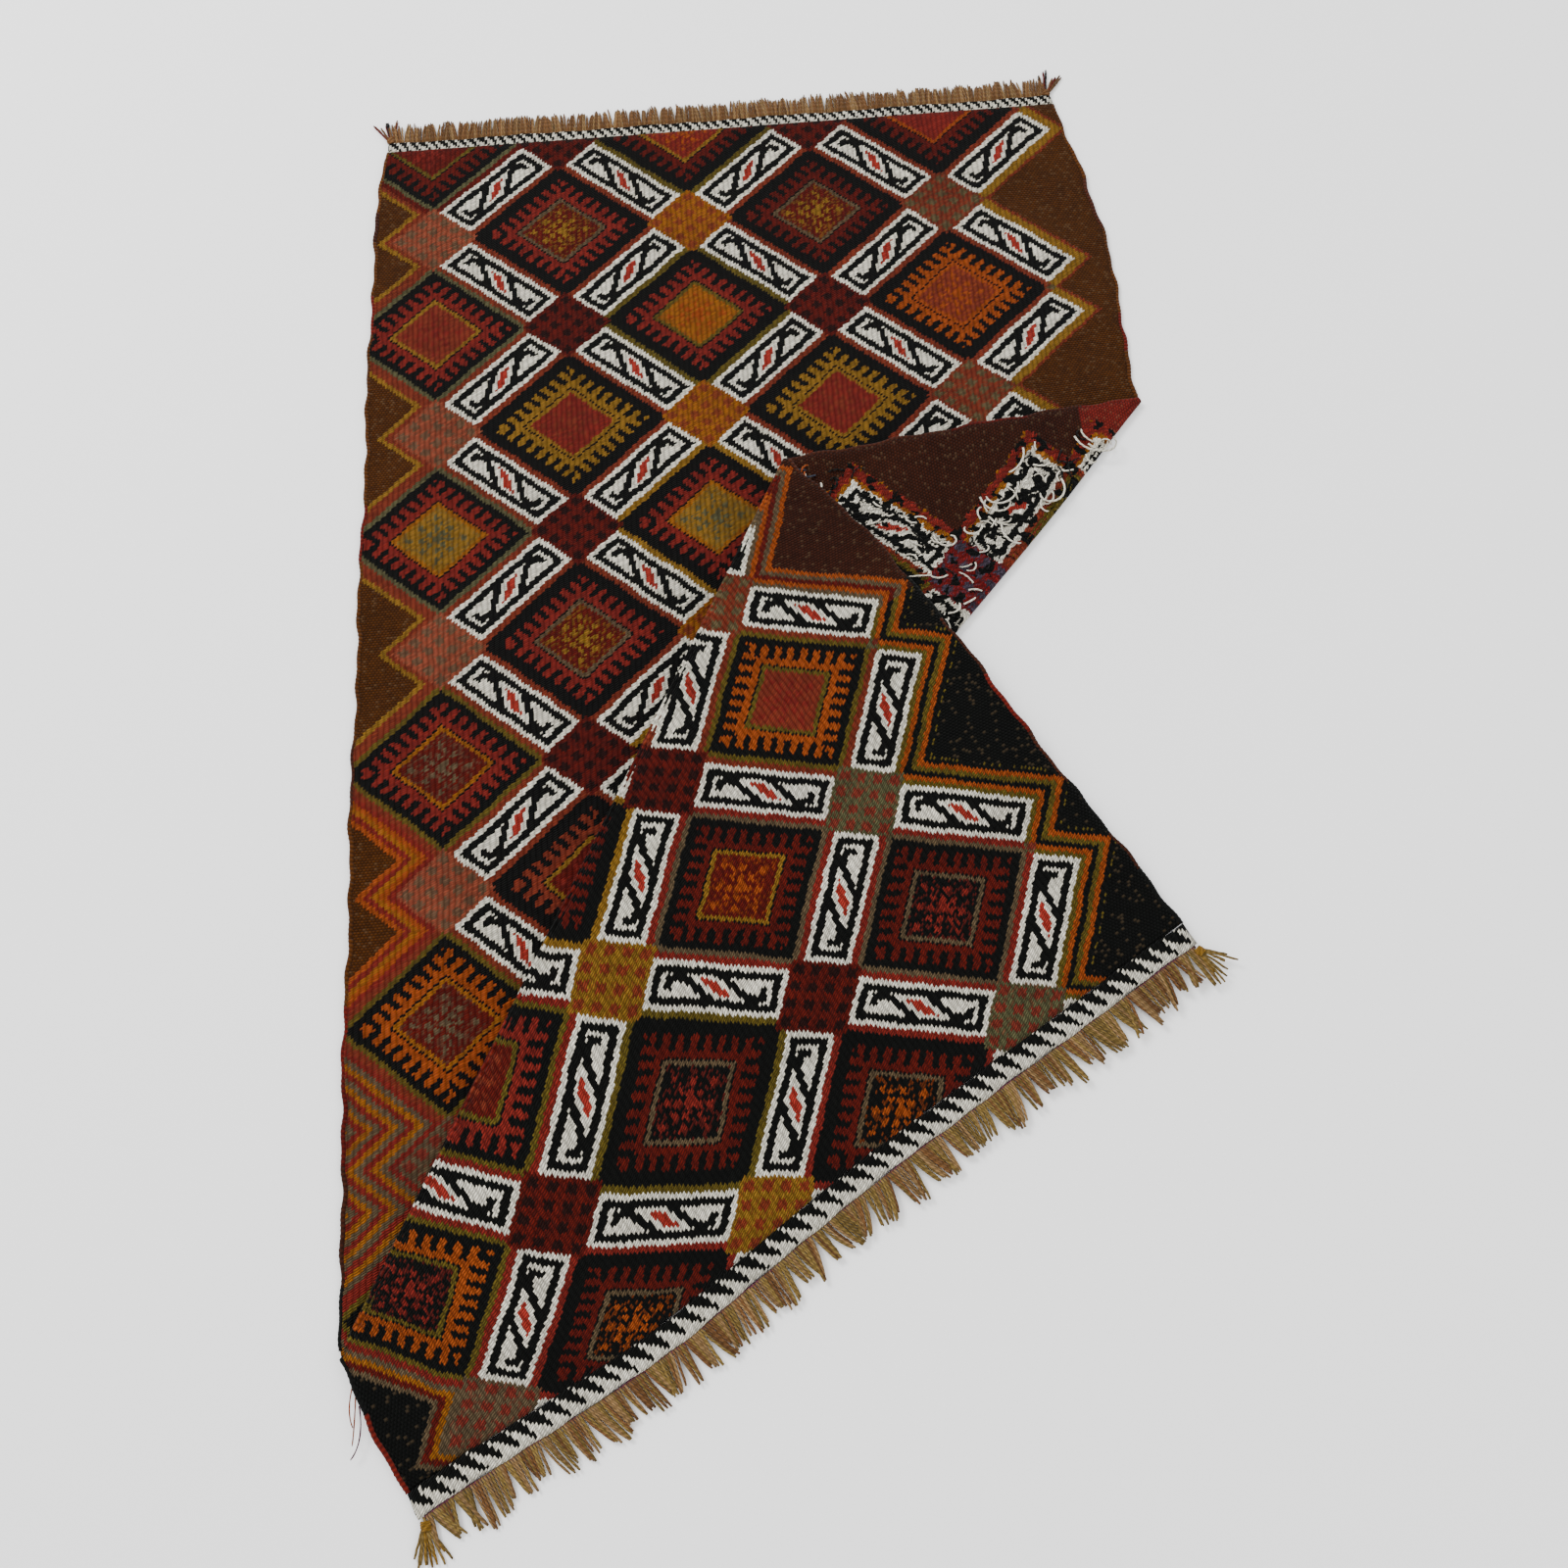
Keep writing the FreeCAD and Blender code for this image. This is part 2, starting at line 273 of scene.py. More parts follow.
# Diamonds by column and half row: outline, line inside it, comb, frame, field, star
DIAMOND = ("rust", "black", "dark red", "grey", "dark red", "mustard")
DIAMONDS = {
    (0, -1): ("dark red", "grey green", "dark red", "olive", "dark red", "red"),
    (0, 1): ("rust", "grey green", "red", "mustard", "rust", "red"),
    (0, 3): ("rust", "grey green", "red", "ochre", "mustard", "grey green"),
    (0, 5): ("rust", "olive", "red", "ochre", "dark red", "grey"),
    (0, 7): ("rust", "olive", "orange", "ochre", "dark red", "grey"),
    (0, 9): ("red", "olive", "orange", "olive", "black", "red"),
    (1, 0): ("rust", "black", "red", "grey", "dark red", "mustard"),
    (1, 2): ("rust", "black", "mustard", "mustard", "red", "rust"),
    (1, 4): ("rust", "black", "red", "grey", "dark red", "mustard"),
    (1, 6): ("rust", "black", "rust", "mustard", "dark red", "red"),
    (1, 8): ("red", "olive", "red", "olive", "dark red", "rust"),
    (1, 10): ("red", "black", "dark red", "grey", "black", "orange"),
    (2, -1): ("olive", "black", "dark red", "mustard", "red", "orange"),
    (2, 1): ("olive", "black", "red", "olive", "ochre", "orange"),
    (2, 3): ("mustard", "black", "red", "ochre", "mustard", "grey green"),
    (2, 5): ("mustard", "black", "dark red", "grey", "dark red", "orange"),
    (2, 7): ("mustard", "black", "dark red", "olive", "red", "orange"),
    (2, 9): ("olive", "black", "dark red", "grey", "black", "red"),
    (3, 0): ("rust", "black", "dark red", "grey", "dark red", "mustard"),
    (3, 2): ("rust", "black", "mustard", "mustard", "red", "rust"),
    (3, 4): ("rust", "black", "red", "grey", "rust", "orange"),
    (3, 6): ("rust", "black", "red", "olive", "dark red", "orange"),
    (3, 8): ("red", "grey", "dark red", "mustard", "dark red", "orange"),
    (3, 10): ("red", "black", "dark red", "grey", "black", "orange"),
    (4, -1): ("rust", "black", "dark red", "orange", "red", "red"),
    (4, 1): ("rust", "black", "orange", "orange", "rust", "orange"),
    (4, 3): ("rust", "olive", "orange", "ochre", "dark red", "red"),
    (4, 5): ("rust", "olive", "orange", "olive", "dark red", "red"),
    (4, 7): ("rust", "olive", "orange", "olive", "rust", "red"),
    (4, 9): ("red", "grey", "dark red", "grey", "black", "red"),
}


def side_yarns(side, y):
    """Three chevron lines and the plain ground at one side, with how wide the lines reach."""
    if side == "left":
        if y > 460:
            return ("rust", "mustard", "ochre", "brown"), 0.052
        if y > 280:
            return ("red", "orange", "ochre", "brown"), 0.13
        if y > 100:
            return ("red", "grey", "ochre", "dark red"), 0.5
        return ("grey", "ochre", "dark red", "black"), 0.10
    if y > OUTER_END - 4:
        return ("mustard", "mustard", "rust", "brown"), 0.07
    if y > 655:
        return ("ochre", "red", "red", "red"), 0.08
    if y > 460:
        return ("ochre", "red", "red", "dark brown"), 0.08
    if y > 300:
        return ("grey", "orange", "dark red", "dark brown"), 0.13
    return ("olive", "orange", "black", "black"), 0.16


COLOUR_NAMES = ("square_ground", "square_dots", "outline", "inner_outline", "comb", "frame", "field", "star",
                "line_one", "line_two", "line_three", "plain_ground")


def colours_at(x, y):
    """The yarns of one spot: its nearest square, its diamond and its side of the rug."""
    a, b = lattice_place(x, y)
    ra, rb = round(a), round(b)
    column = min(max(ra + rb, 0), 4)
    square = SQUARES[column]
    if y < 305 and column in LOW_SQUARES:
        square = LOW_SQUARES[column]
    if 460 < y < 640 and column == 4:
        square = TURNBACK_SQUARE
    ma, mb = int(np.floor(a)), int(np.floor(b))
    diamond = DIAMONDS.get((ma + mb + 1, ma - mb), DIAMOND)
    side, reach = side_yarns("left" if x < WIDTH / 2 else "right", y)
    return [YARNS[name] for name in (*square, *diamond, *side)], reach


# ---------------------------------------------------------------- shader building
class Value:
    """A number on its way through a shader, so that sums can be written as sums."""

    def __init__(self, graph, socket):
        self.graph, self.socket = graph, socket

    def _do(self, operation, *others):
        return self.graph.math(operation, self, *others)

    def __add__(self, other): return self._do("ADD", other)
    def __radd__(self, other): return self._do("ADD", other)
    def __sub__(self, other): return self._do("SUBTRACT", other)
    def __rsub__(self, other): return self.graph.math("SUBTRACT", other, self)
    def __mul__(self, other): return self._do("MULTIPLY", other)
    def __rmul__(self, other): return self._do("MULTIPLY", other)
    def __truediv__(self, other): return self._do("DIVIDE", other)
    def __lt__(self, other): return self._do("LESS_THAN", other)
    def __gt__(self, other): return self._do("GREATER_THAN", other)
    def __and__(self, other): return self._do("MULTIPLY", other)
    def __or__(self, other): return self._do("MAXIMUM", other)
    def __abs__(self): return self._do("ABSOLUTE")
    def floor(self): return self._do("FLOOR")
    def fract(self): return self._do("FRACT")
    def round(self): return self._do("ROUND")
    def sign(self): return self._do("SIGN")
    def cosine(self): return self._do("COSINE")
    def off(self): return self.graph.math("SUBTRACT", 1.0, self)


class Graph:
    """Adds nodes to one tree."""

    def __init__(self, tree):
        self.tree = tree

    def node(self, kind, **settings):
        made = self.tree.nodes.new(kind)
        for name, value in settings.items():
            setattr(made, name, value)
        return made

    def feed(self, socket, value):
        if isinstance(value, Value):
            self.tree.links.new(value.socket, socket)
        elif isinstance(value, bpy.types.NodeSocket):
            self.tree.links.new(value, socket)
        else:
            socket.default_value = value

    def math(self, operation, *values):
        made = self.node("ShaderNodeMath", operation=operation)
        for socket, value in zip(made.inputs, values):
            self.feed(socket, value)
        return Value(self, made.outputs[0])

    def least(self, a, b):
        return self.math("MINIMUM", a, b)

    def most(self, a, b):
        return self.math("MAXIMUM", a, b)

    def pick(self, choice, when, otherwise):
        """A number: when where choice is 1, otherwise where it is 0."""
        made = self.node("ShaderNodeMix", data_type="FLOAT")
        self.feed(made.inputs[0], choice)
        self.feed(made.inputs[2], otherwise)
        self.feed(made.inputs[3], when)
        return Value(self, made.outputs[0])

    def paint(self, choice, when, otherwise, blend="MIX"):
        """A colour: when where choice is 1, otherwise where it is 0."""
        made = self.node("ShaderNodeMix", data_type="RGBA", blend_type=blend)
        self.feed(made.inputs[0], choice)
        self.feed(made.inputs[6], otherwise)
        self.feed(made.inputs[7], when)
        return made.outputs[2]

    def vector(self, x, y, z=0.0):
        made = self.node("ShaderNodeCombineXYZ")
        for socket, value in zip(made.inputs, (x, y, z)):
            self.feed(socket, value)
        return made.outputs[0]

    def parts(self, socket):
        made = self.node("ShaderNodeSeparateXYZ")
        self.tree.links.new(socket, made.inputs[0])
        return [Value(self, s) for s in made.outputs]

    def noise(self, vector, scale, detail=2.0):
        made = self.node("ShaderNodeTexNoise", noise_dimensions="3D")
        self.feed(made.inputs["Vector"], vector)
        made.inputs["Scale"].default_value = scale
        made.inputs["Detail"].default_value = detail
        return made

    def chance(self, vector):
        made = self.node("ShaderNodeTexWhiteNoise", noise_dimensions="3D")
        self.feed(made.inputs["Vector"], vector)
        return Value(self, made.outputs["Value"])


def group(name, inputs, outputs):
    """An empty node group with named sockets, and the graph that fills it."""
    tree = bpy.data.node_groups.new(name, "ShaderNodeTree")
    for label, kind in inputs:
        tree.interface.new_socket(name=label, in_out="INPUT", socket_type=kind)
    for label, kind in outputs:
        tree.interface.new_socket(name=label, in_out="OUTPUT", socket_type=kind)
    graph = Graph(tree)
    start = graph.node("NodeGroupInput")
    end = graph.node("NodeGroupOutput")
    return graph, start.outputs, end.inputs


FLOAT, COLOUR, VECTOR = "NodeSocketFloat", "NodeSocketColor", "NodeSocketVector"
SQUARE_HALF, BAR_HALF, LINE = 0.17, 0.115, 0.026


def stitches():
    """Slanted stitches: where each one's middle is, a chance number for it, and its height."""
    g, given, out = group("slanted_stitches", [("Place", VECTOR), ("Reverse", FLOAT)],
                          [("Middle", VECTOR), ("Chance", FLOAT), ("Height", FLOAT)])
    x, y, _ = g.parts(given["Place"])
    reverse = Value(g, given["Reverse"])
    slow = g.noise(given["Place"], 0.035, 1.0)
    quick = g.noise(given["Place"], 0.16, 2.0)
    sx, sy, _ = g.parts(slow.outputs["Color"])
    qx, qy, _ = g.parts(quick.outputs["Color"])
    loose = 1.6 + 6.0 * reverse
    x = x + (sx - 0.5) * 3.0 + (qx - 0.5) * loose
    y = y + (sy - 0.5) * 3.0 + (qy - 0.5) * loose
    width, pitch, slant = 4.0, 1.6, 2.0
    column = (x / width).floor()
    across = x / width - column - 0.5
    shift = g.chance(g.vector(column, 3.0, 5.0))
    along = (y - across * slant) / pitch + shift
    row = along.floor()
    over = along - row - 0.5
    half = across.sign() * 0.25
    middle_x = (column + 0.5 + half) * width
    middle_y = (row - shift + 0.5) * pitch + half * slant
    g.feed(out["Middle"], g.vector(middle_x, middle_y, 0.0))
    g.feed(out["Chance"], g.chance(g.vector(column, row, 1.0)))
    g.feed(out["Height"], (across * 2.6).cosine() * (over * 2.7).cosine())
    return g.tree


def pattern():
    """The brocaded pattern, from a place on the flat rug in mm and the yarns at that spot."""
    names = [label.replace("_", " ").capitalize() for label in COLOUR_NAMES]
    inputs = [("Place", VECTOR), ("Line reach", FLOAT)] + [(n, COLOUR) for n in names]
    g, given, out = group("brocaded_pattern", inputs, [("Colour", COLOUR), ("Brocaded", FLOAT)])
    x, y, _ = g.parts(given["Place"])
    col = {label: given[n] for label, n in zip(COLOUR_NAMES, names)}
    reach = Value(g, given["Line reach"])
    column = (x - FIRST_COLUMN) / COLUMN
    row = ((LENGTH - TOP_MARGIN) - y) / (ROW / 2)
    a = (column + row) * 0.5
    b = (column - row) * 0.5
    fa, fb = a - a.round(), b - b.round()
    off_a, off_b = abs(fa), abs(fb)
    far, near = g.most(off_a, off_b), g.least(off_a, off_b)
    ca, cb = a.fract() - 0.5, b.fract() - 0.5
    size_a, size_b = abs(ca), abs(cb)
    d = g.most(size_a, size_b)
    t = g.pick(size_a > size_b, cb, ca)

    # dotted squares
    square = far < SQUARE_HALF
    dot = (abs((fa / 0.085).fract() - 0.5) < 0.27) & (abs((fb / 0.085).fract() - 0.5) < 0.27) & (far < 0.158)
    mixed = (g.chance(g.vector(x, y, 4.0)) > 0.75) * 0.35
    square_colour = g.paint(g.pick(dot, 0.85, mixed), col["square_dots"], col["square_ground"])

    # comb diamonds
    tooth = (t / 0.066).fract() < 0.52
    comb = ((d > 0.184) & (d < 0.216)) | ((d > 0.21) & (d < 0.288) & tooth)
    dots = ((ca / 0.05 + 0.5).fract() < 0.62) & ((cb / 0.05 + 0.5).fract() < 0.62)
    ray = (g.least(size_a, size_b) < 0.024) | (abs(size_a - size_b) < 0.026)
    star = (dots & ray & (d < 0.125)) | (d < 0.022)
    mottled = (g.chance(given["Place"]) > 0.7) * 0.4
    colour = g.paint(star, col["star"], g.paint(mottled, col["star"], col["field"]))
    colour = g.paint(d > 0.155, col["frame"], colour)
    colour = g.paint(d > 0.176, YARNS["black"], colour)
    colour = g.paint(comb, col["comb"], colour)
    colour = g.paint(d > 0.326, col["inner_outline"], colour)
    colour = g.paint(d > 0.352, col["outline"], colour)

    # hook bars
    bar = (near < BAR_HALF) & square.off()
    along = off_b < off_a
    u = g.pick(along, ca, cb)
    v = g.pick(along, fb, fa)
    edge = g.least(0.33 - abs(u), BAR_HALF - abs(v))
    w = u + v * 1.55
    side = w.sign()
    hook_u, hook_v = side * u * -1.0, side * v * -1.0
    stroke = abs(abs(w) - 0.108) < 0.031
    hook = (abs(hook_v - 0.030) < 0.0155) & (abs(hook_u + 0.195) < 0.052)
    hook = hook | ((abs(hook_u + 0.230) < 0.0175) & (abs(hook_v - 0.012) < 0.034))
    inside = edge > 0.060
    black = ((edge > 0.025) & (edge < 0.061)) | (inside & (stroke | hook))
    lozenge = (abs(w) < 0.036) & (abs(v) < 0.037)
    bar_colour = g.paint(black, YARNS["black"], YARNS["white"])
    bar_colour = g.paint(lozenge, YARNS["madder"], bar_colour)

    # zigzag lines and plain ground at the left
    row_left = (row * 0.5).round() * 2.0
    left_cell = g.most(abs(a - (row_left - 1.0) * 0.5), abs(b + (row_left + 1.0) * 0.5))
    left_depth = g.least(0.615 - left_cell, far - SQUARE_HALF)
    at_left = (column < 0.0) & square.off() & (left_cell < 0.615)
    # and at the right, where the bars end against it
    row_right = (row * 0.5 - 0.5).round() * 2.0 + 1.0
    end_a = a - (row_right + 5.0) * 0.5
    end_b = b - (5.0 - row_right) * 0.5
    below_bar = g.most(abs(end_b) - BAR_HALF, end_a + SQUARE_HALF)
    above_bar = g.most(abs(end_a) - BAR_HALF, end_b + SQUARE_HALF)
    right_depth = g.least(below_bar, above_bar)
    beyond = ((end_a < -BAR_HALF) & (end_b < -BAR_HALF)).off() & (square & (column < 4.5)).off()
    at_right = (column > 4.0) & (right_depth > 0.0) & beyond
    depth = g.pick(at_left, left_depth, right_depth)
    line = (depth / (LINE * 3)).fract() * 3.0
    line_colour = g.paint(line > 1.0, col["line_two"], col["line_one"])
    line_colour = g.paint(line > 2.0, col["line_three"], line_colour)
    side_ground = depth > reach
    side_colour = g.paint(side_ground, col["plain_ground"], line_colour)
    at_side = at_left | at_right

    colour = g.paint(square, square_colour, colour)
    colour = g.paint(bar, bar_colour, colour)
    colour = g.paint(at_side, side_colour, colour)
    g.feed(out["Colour"], colour)
    g.feed(out["Brocaded"], (at_side & side_ground).off())
    return g.tree


def wool():
    """Uneven dye and dust vary one yarn from stitch to stitch; painted shade darkens its sides where they dip
    between yarns.
    """
    inputs = [("Colour", COLOUR), ("Place", VECTOR), ("Chance", FLOAT), ("Height", FLOAT), ("Depth", FLOAT)]
    g, given, out = group("uneven_wool_and_gap_shade", inputs, [("Colour", COLOUR)])
    chance, height = Value(g, given["Chance"]), Value(g, given["Height"])
    slow = Value(g, g.noise(given["Place"], 0.02, 3.0).outputs["Fac"])
    fine = Value(g, g.noise(given["Place"], 1.7, 2.0).outputs["Fac"])
    bright = 0.62 + chance * 0.42 + (slow - 0.5) * 0.5 + (fine - 0.5) * 0.5
    # painted shade: darker where the yarn's height is low, in the gaps between stitches, ribs and plies
    sides = 1.0 - Value(g, given["Depth"]) * (1.0 - height)
    shade = g.math("MAXIMUM", bright * sides, 0.02)
    scaled = g.node("ShaderNodeVectorMath", operation="SCALE")
    g.feed(scaled.inputs[0], given["Colour"])
    g.feed(scaled.inputs["Scale"], shade)
    g.feed(out["Colour"], scaled.outputs[0])
    return g.tree


STITCHES, PATTERN, WOOL = stitches(), pattern(), wool()


def new_material(name, roughness=0.97, sheen=0.02):
    material = bpy.data.materials.new(name)
    material.use_nodes = True
    g = Graph(material.node_tree)
    shader = material.node_tree.nodes["Principled BSDF"]
    shader.inputs["Roughness"].default_value = roughness
    shader.inputs["Specular IOR Level"].default_value = 0.03
    shader.inputs["Sheen Weight"].default_value = sheen
    shader.inputs["Sheen Roughness"].default_value = 0.6
    return material, g, shader


def placed_group(g, tree, **values):
    made = g.node("ShaderNodeGroup")
    made.node_tree = tree
    for name, value in values.items():
        g.feed(made.inputs[name.replace("_", " ")], value)
    return made


def bumped(g, shader, height, distance):
    bump = g.node("ShaderNodeBump")
    bump.inputs["Strength"].default_value = 1.0
    bump.inputs["Distance"].default_value = distance
    g.feed(bump.inputs["Height"], height)
    g.feed(shader.inputs["Normal"], bump.outputs[0])


def flat_place(g):
    """The piece's own map, as a place on the flat rug in mm."""
    uv = g.node("ShaderNodeUVMap", uv_map="flat_place")
    scale = g.node("ShaderNodeVectorMath", operation="SCALE")
    g.feed(scale.inputs[0], uv.outputs[0])
    scale.inputs["Scale"].default_value = 1000.0
    return scale.outputs[0]


def attribute(g, name):
    return g.node("ShaderNodeAttribute", attribute_name=name)


def cloth_material():
    material, g, shader = new_material("brocaded_wool")
    place = flat_place(g)
    reverse = Value(g, attribute(g, "reverse").outputs["Fac"])
    weave = placed_group(g, STITCHES, Place=place, Reverse=reverse)
    drawn = placed_group(g, PATTERN, Place=weave.outputs["Middle"])
    g.feed(drawn.inputs["Line reach"], attribute(g, "line_reach").outputs["Fac"])
    for label in COLOUR_NAMES:
        g.feed(drawn.inputs[label.replace("_", " ").capitalize()], attribute(g, label).outputs["Color"])
    brocaded = Value(g, drawn.outputs["Brocaded"])
    chance, height = Value(g, weave.outputs["Chance"]), Value(g, weave.outputs["Height"])
    # the plain ground is a finer weave of small ribs, speckled with undyed wool
    x, y, _ = g.parts(place)
    rib_row = (y / 1.9).floor()
    rib_x = x / 2.6 + (rib_row * 0.5).fract()
    rib = ((rib_x.fract() - 0.5) * 2.7).cosine() * (((y / 1.9).fract() - 0.5) * 2.7).cosine()
    fleck = g.chance(g.vector(rib_x.floor(), rib_row, 9.0))
    ground = g.paint((fleck > 0.9) * 0.3, YARNS["grey"], drawn.outputs["Colour"])
    colour = g.paint(brocaded, drawn.outputs["Colour"], ground)
    chance = g.pick(brocaded, chance, fleck)
    height = g.pick(brocaded, height, rib * 0.7)
    # floats of black and white yarn run loose over the back of the bars
    loose = Value(g, g.noise(place, 0.11, 3.0).outputs["Fac"])
    stray = reverse & (loose > 0.56) & brocaded
    colour = g.paint(stray, YARNS["black"], colour)
    # the last value sets the painted shade in the gaps between stitches and ribs
    painted = placed_group(g, WOOL, Colour=colour, Place=place, Chance=chance, Height=height, Depth=0.74)
    g.feed(shader.inputs["Base Color"], painted.outputs["Colour"])
    bumped(g, shader, height, 0.0016)
    return material


def yarn_material(name, plies, lay):
    """Plied yarn: its dye is an attribute, and its plies run round it by its own map."""
    material, g, shader = new_material(name, 0.95, 0.05)
    place = flat_place(g)
    length, round_it, _ = g.parts(place)
    ply = ((length / lay + round_it * plies) * (2 * pi)).cosine() * 0.5 + 0.5
    dye = attribute(g, "dye")
    coords = g.node("ShaderNodeTexCoord")
    fine = Value(g, g.noise(coords.outputs["Object"], 900.0, 2.0).outputs["Fac"])
    spot = g.node("ShaderNodeVectorMath", operation="SCALE")
    g.feed(spot.inputs[0], coords.outputs["Object"])
    spot.inputs["Scale"].default_value = 1000.0
    # the last value sets the painted shade in the grooves between plies
    painted = placed_group(g, WOOL, Colour=dye.outputs["Color"], Place=spot.outputs[0], Chance=fine,
                           Height=ply, Depth=0.5)
    g.feed(shader.inputs["Base Color"], painted.outputs["Colour"])
    bumped(g, shader, ply, 0.0005)
    return material


def band_material(name, teeth, low, high, line, slope):
    """Black and white woven band: slanting teeth on a white line. low is the edge with the line."""
    material, g, shader = new_material(name)
    place = flat_place(g)
    weave = placed_group(g, STITCHES, Place=place, Reverse=0.0)
    x, y, _ = g.parts(weave.outputs["Middle"])
    share = (y - low) / (high - low)
    saw = (x / teeth + share * 0.6).fract()
    white = saw < (1.0 - share) * slope + (0.98 - slope) * 0.5
    colour = g.paint(white, YARNS["white"], YARNS["black"])
    colour = g.paint(share < line, YARNS["white"], colour)
    # the last value sets the painted shade in the gaps between stitches
    painted = placed_group(g, WOOL, Colour=colour, Place=place, Chance=weave.outputs["Chance"],
                           Height=weave.outputs["Height"], Depth=0.7)
    g.feed(shader.inputs["Base Color"], painted.outputs["Colour"])
    bumped(g, shader, weave.outputs["Height"], 0.0016)
    return material


CLOTH_WOOL = cloth_material()
YARN_WOOL = yarn_material("plied_wool", 2.0, 4.0)
CORD_WOOL = yarn_material("overcast_wool", 0.5, 3.2)
TOP_BAND_WOOL = band_material("checked_band", 8.0, LENGTH, LENGTH + TOP_BAND, 0.0, 0.5)
BOTTOM_BAND_WOOL = band_material("saw_band", 12.0, -BOTTOM_BAND, 0.0, 0.12, 0.85)


# ---------------------------------------------------------------- mesh building
def new_object(name, points, faces, places, material, face_values=None, face_colours=None, smooth=True):
    """A mesh in the row frame. places is the flat place of every face corner, in mm."""
    mesh = bpy.data.meshes.new(name)
    mesh.from_pydata([tuple(p) for p in points], [], [tuple(f) for f in faces])
    corner_places = np.concatenate([np.asarray(p, float) for p in places]) / 1000
    layer = mesh.uv_layers.new(name="flat_place")
    layer.data.foreach_set("uv", corner_places.astype(np.float32).ravel())
    for label, values in (face_values or {}).items():
        made = mesh.attributes.new(label, "FLOAT", "FACE")
        made.data.foreach_set("value", np.asarray(values, np.float32))
    for label, values in (face_colours or {}).items():
        made = mesh.attributes.new(label, "FLOAT_COLOR", "FACE")
        made.data.foreach_set("color", np.asarray(values, np.float32).ravel())
    if smooth:
        mesh.polygons.foreach_set("use_smooth", [True] * len(mesh.polygons))
    mesh.materials.append(material)
    mesh.update()
    made = bpy.data.objects.new(name, mesh)
    bpy.context.scene.collection.objects.link(made)
    return made


def flat_grid(y_low, y_high, cuts=()):
    """A flat net over the rug between two heights, cut along creases. cuts is (angle, shift, keep)."""
    rows = max(2, round((y_high - y_low) / GRID) + 1)
    columns = round(WIDTH / GRID) + 1
    ys = np.linspace(y_low, y_high, rows)
    bm = bmesh.new()
    lines = []
    for y in ys:
        xs = spread_across(np.linspace(0, 1, columns), y)
        lines.append([bm.verts.new((x, y, 0)) for x in xs])
    for low, high in zip(lines, lines[1:]):
        for i in range(columns - 1):
            bm.faces.new((low[i], low[i + 1], high[i + 1], high[i]))
    for angle, shift, keep in cuts:
        normal = Vector((-cos(radians(angle)), sin(radians(angle)), 0))
        point = Vector((0, crease_y(angle, 0, shift), 0))
        bmesh.ops.bisect_plane(bm, geom=bm.verts[:] + bm.edges[:] + bm.faces[:], dist=1e-4, plane_co=point,
                               plane_no=normal, clear_outer=keep == "below", clear_inner=keep == "above")
    small = [f for f in bm.faces if f.calc_area() < 1e-4]
    bmesh.ops.delete(bm, geom=small, context="FACES")
    loose = [v for v in bm.verts if not v.link_faces]
    bmesh.ops.delete(bm, geom=loose, context="VERTS")
    bm.verts.index_update()
    points = np.array([v.co[:2] for v in bm.verts])
    faces = [[v.index for v in f.verts] for f in bm.faces]
    bm.free()
    return points, faces


def closed_sheet(flat, faces, low, high):
    """Points and faces of a sheet with a face, a back and edges, from its net and two heights."""
    n = len(flat)
    points = np.concatenate([np.column_stack([flat, high]), np.column_stack([flat, low])])
    used = {}
    for f in faces:
        for p, q in zip(f, f[1:] + f[:1]):
            used[(p, q)] = used.get((p, q), 0) + 1
    rim = [(p, q) for p, q in used if (q, p) not in used]
    front = list(faces)
    back = [[i + n for i in reversed(f)] for f in faces]
    edge = [[q, p, p + n, q + n] for p, q in rim]
    return points, front + back + edge, [0.0] * len(front) + [1.0] * len(back) + [0.0] * len(edge)


def paint_cloth(points, faces):
    """Face colours of a piece of cloth, from the middle of each face on the flat rug."""
    middles = np.array([points[f].mean(0) for f in faces])
    found = [colours_at(x, y) for x, y in middles[:, :2]]
    colours = {label: [row[0][i] for row in found] for i, label in enumerate(COLOUR_NAMES)}
    return colours, [row[1] for row in found]


CUTS = {
    "upper": [(OUTER_CREASE, LAYER_GAP, "above")],
    "turnback": [(OUTER_CREASE, -LAYER_GAP, "below"), (INNER_CREASE, LAYER_GAP, "above")],
    "flap": [(INNER_CREASE, -LAYER_GAP, "below")],
}
MOTIFS = ("dotted_squares", "hook_bars", "comb_diamonds", "side_chevrons")


def cloth_panel(panel):
    flat, faces = flat_grid(0, LENGTH, CUTS[panel])
    x, y = flat[:, 0], flat[:, 1]
    base = lift(x, y) if panel == "upper" else -0.5 * lift(x, y)
    points, faces, reverse = closed_sheet(flat, faces, base, base + thickness(x, y))
    colours, reach = paint_cloth(points[:, :2], faces)
    places = [points[f][:, :2] for f in faces]
    made = new_object(f"cloth_{panel}", laid(points, panel), faces, places, CLOTH_WOOL,
                      {"reverse": reverse, "line_reach": reach}, colours)
    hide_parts(f"ground_cloth_{panel}", *[f"{motif}_{panel}" for motif in MOTIFS])
    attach(made, panel)
    return made


